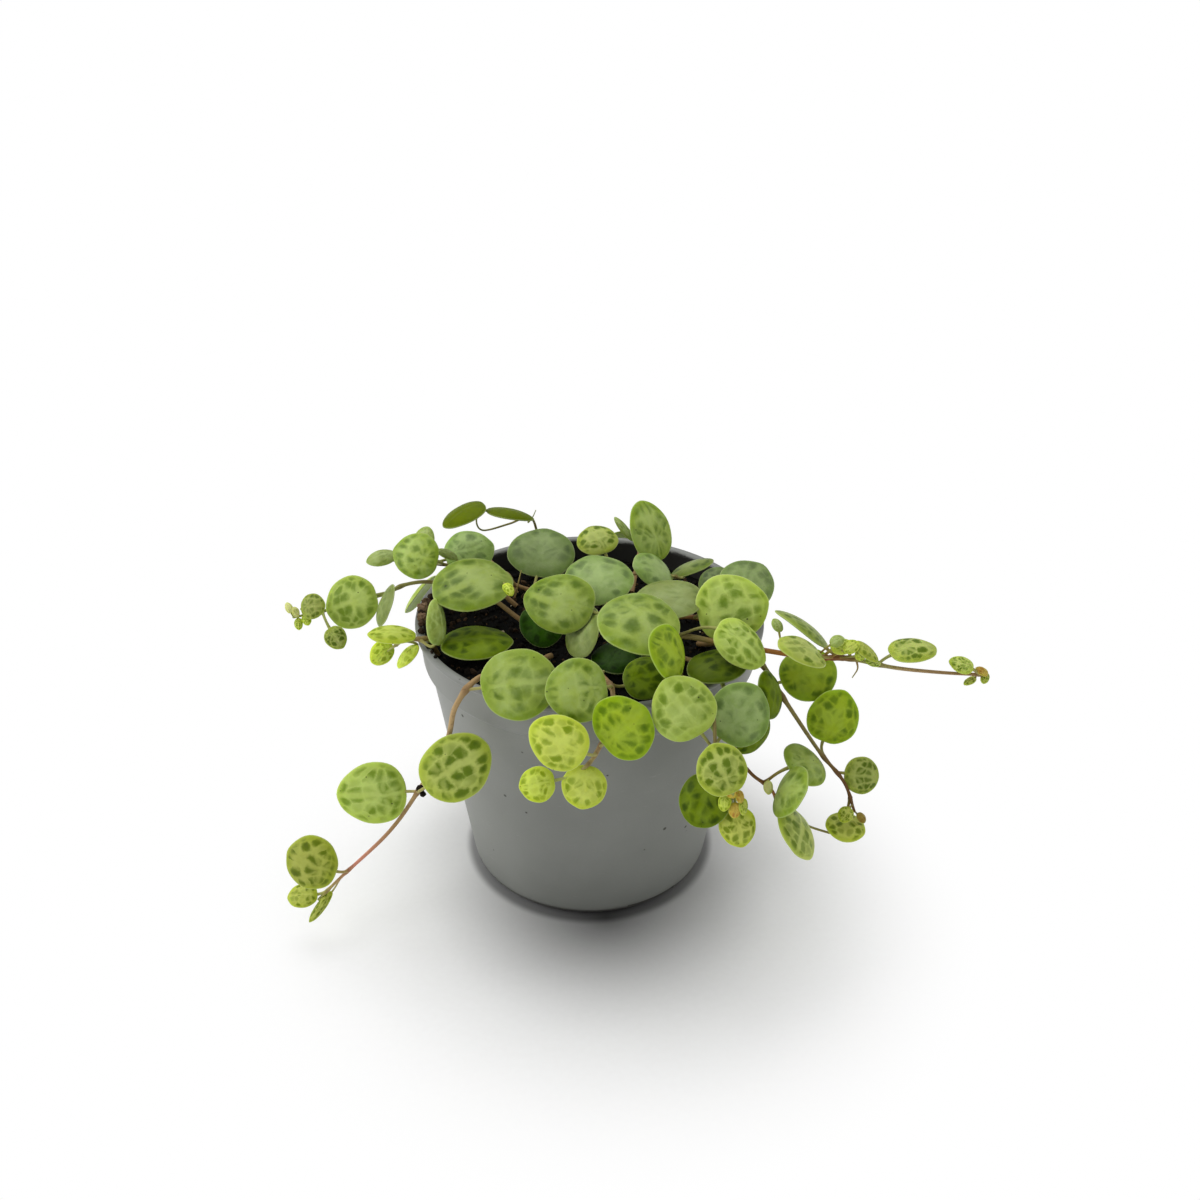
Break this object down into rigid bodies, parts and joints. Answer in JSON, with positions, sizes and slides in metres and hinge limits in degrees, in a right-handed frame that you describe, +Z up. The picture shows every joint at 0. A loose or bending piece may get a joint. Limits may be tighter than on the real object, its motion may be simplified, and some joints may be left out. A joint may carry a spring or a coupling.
{
  "type": "potted string of turtles",
  "caption": "Trailing string of turtles plant with round patterned succulent leaves on thin stems, in a small round grey nursery pot.",
  "frame": {"origin": "centre of the pot's flat base, on the surface that the pot stands on", "axes": "+Z up along the pot's axis, -Y towards the front of the plant, +X towards the side where the longest stem trails"},
  "size_m": [0.1141, 0.0794, 0.0655],
  "materials": {
    "pot": "satin light grey thermoformed plastic",
    "soil": "moist dark potting compost with perlite and bark crumbs",
    "stem": "tan to reddish brown, slightly glossy plant stem",
    "leaf": "fleshy satin green leaf with pale veins over darker patches"
  },
  "bodies": {
    "root": {"pot": "pot", "soil": "soil", "stem_back_fall": "stem", "stem_back_left": "stem", "stem_back_left_fall": "stem", "stem_centre_front": "stem", "stem_crown_back": "stem", "stem_crown_left": "stem", "stem_crown_mid": "stem", "stem_crown_right": "stem", "stem_left_bright": "stem", "stem_left_long": "stem", "stem_left_upper": "stem", "stem_raised_back": "stem", "stem_right_curl": "stem", "stem_right_front": "stem", "stem_right_long": "stem", "stem_right_loop": "stem", "leaf_back_fall_1": "leaf", "leaf_back_fall_2": "leaf", "leaf_back_fall_3": "leaf", "leaf_back_left_2": "leaf", "leaf_back_left_fall_1": "leaf", "leaf_back_left_fall_2": "leaf", "leaf_centre_front_3": "leaf", "leaf_centre_front_4": "leaf", "leaf_centre_front_5": "leaf", "leaf_crown_back_2": "leaf", "leaf_crown_back_3": "leaf", "leaf_crown_left_2": "leaf", "leaf_crown_left_3": "leaf", "leaf_crown_mid_1": "leaf", "leaf_crown_mid_2": "leaf", "leaf_crown_mid_3": "leaf", "leaf_crown_mid_4": "leaf", "leaf_crown_right_1": "leaf", "leaf_crown_right_2": "leaf", "leaf_crown_right_3": "leaf", "leaf_left_bright_1": "leaf", "leaf_left_long_1": "leaf", "leaf_left_long_2": "leaf", "leaf_left_long_3": "leaf", "leaf_left_long_4": "leaf", "leaf_left_upper_2": "leaf", "leaf_right_curl_1": "leaf", "leaf_right_curl_3": "leaf", "leaf_right_front_1": "leaf", "leaf_right_front_2": "leaf", "leaf_right_front_3": "leaf", "leaf_right_long_1": "leaf", "leaf_right_long_2": "leaf", "leaf_right_long_3": "leaf", "leaf_right_loop_1": "leaf", "leaf_right_loop_3": "leaf", "leaf_right_loop_5": "leaf"}
  },
  "joints": []
}
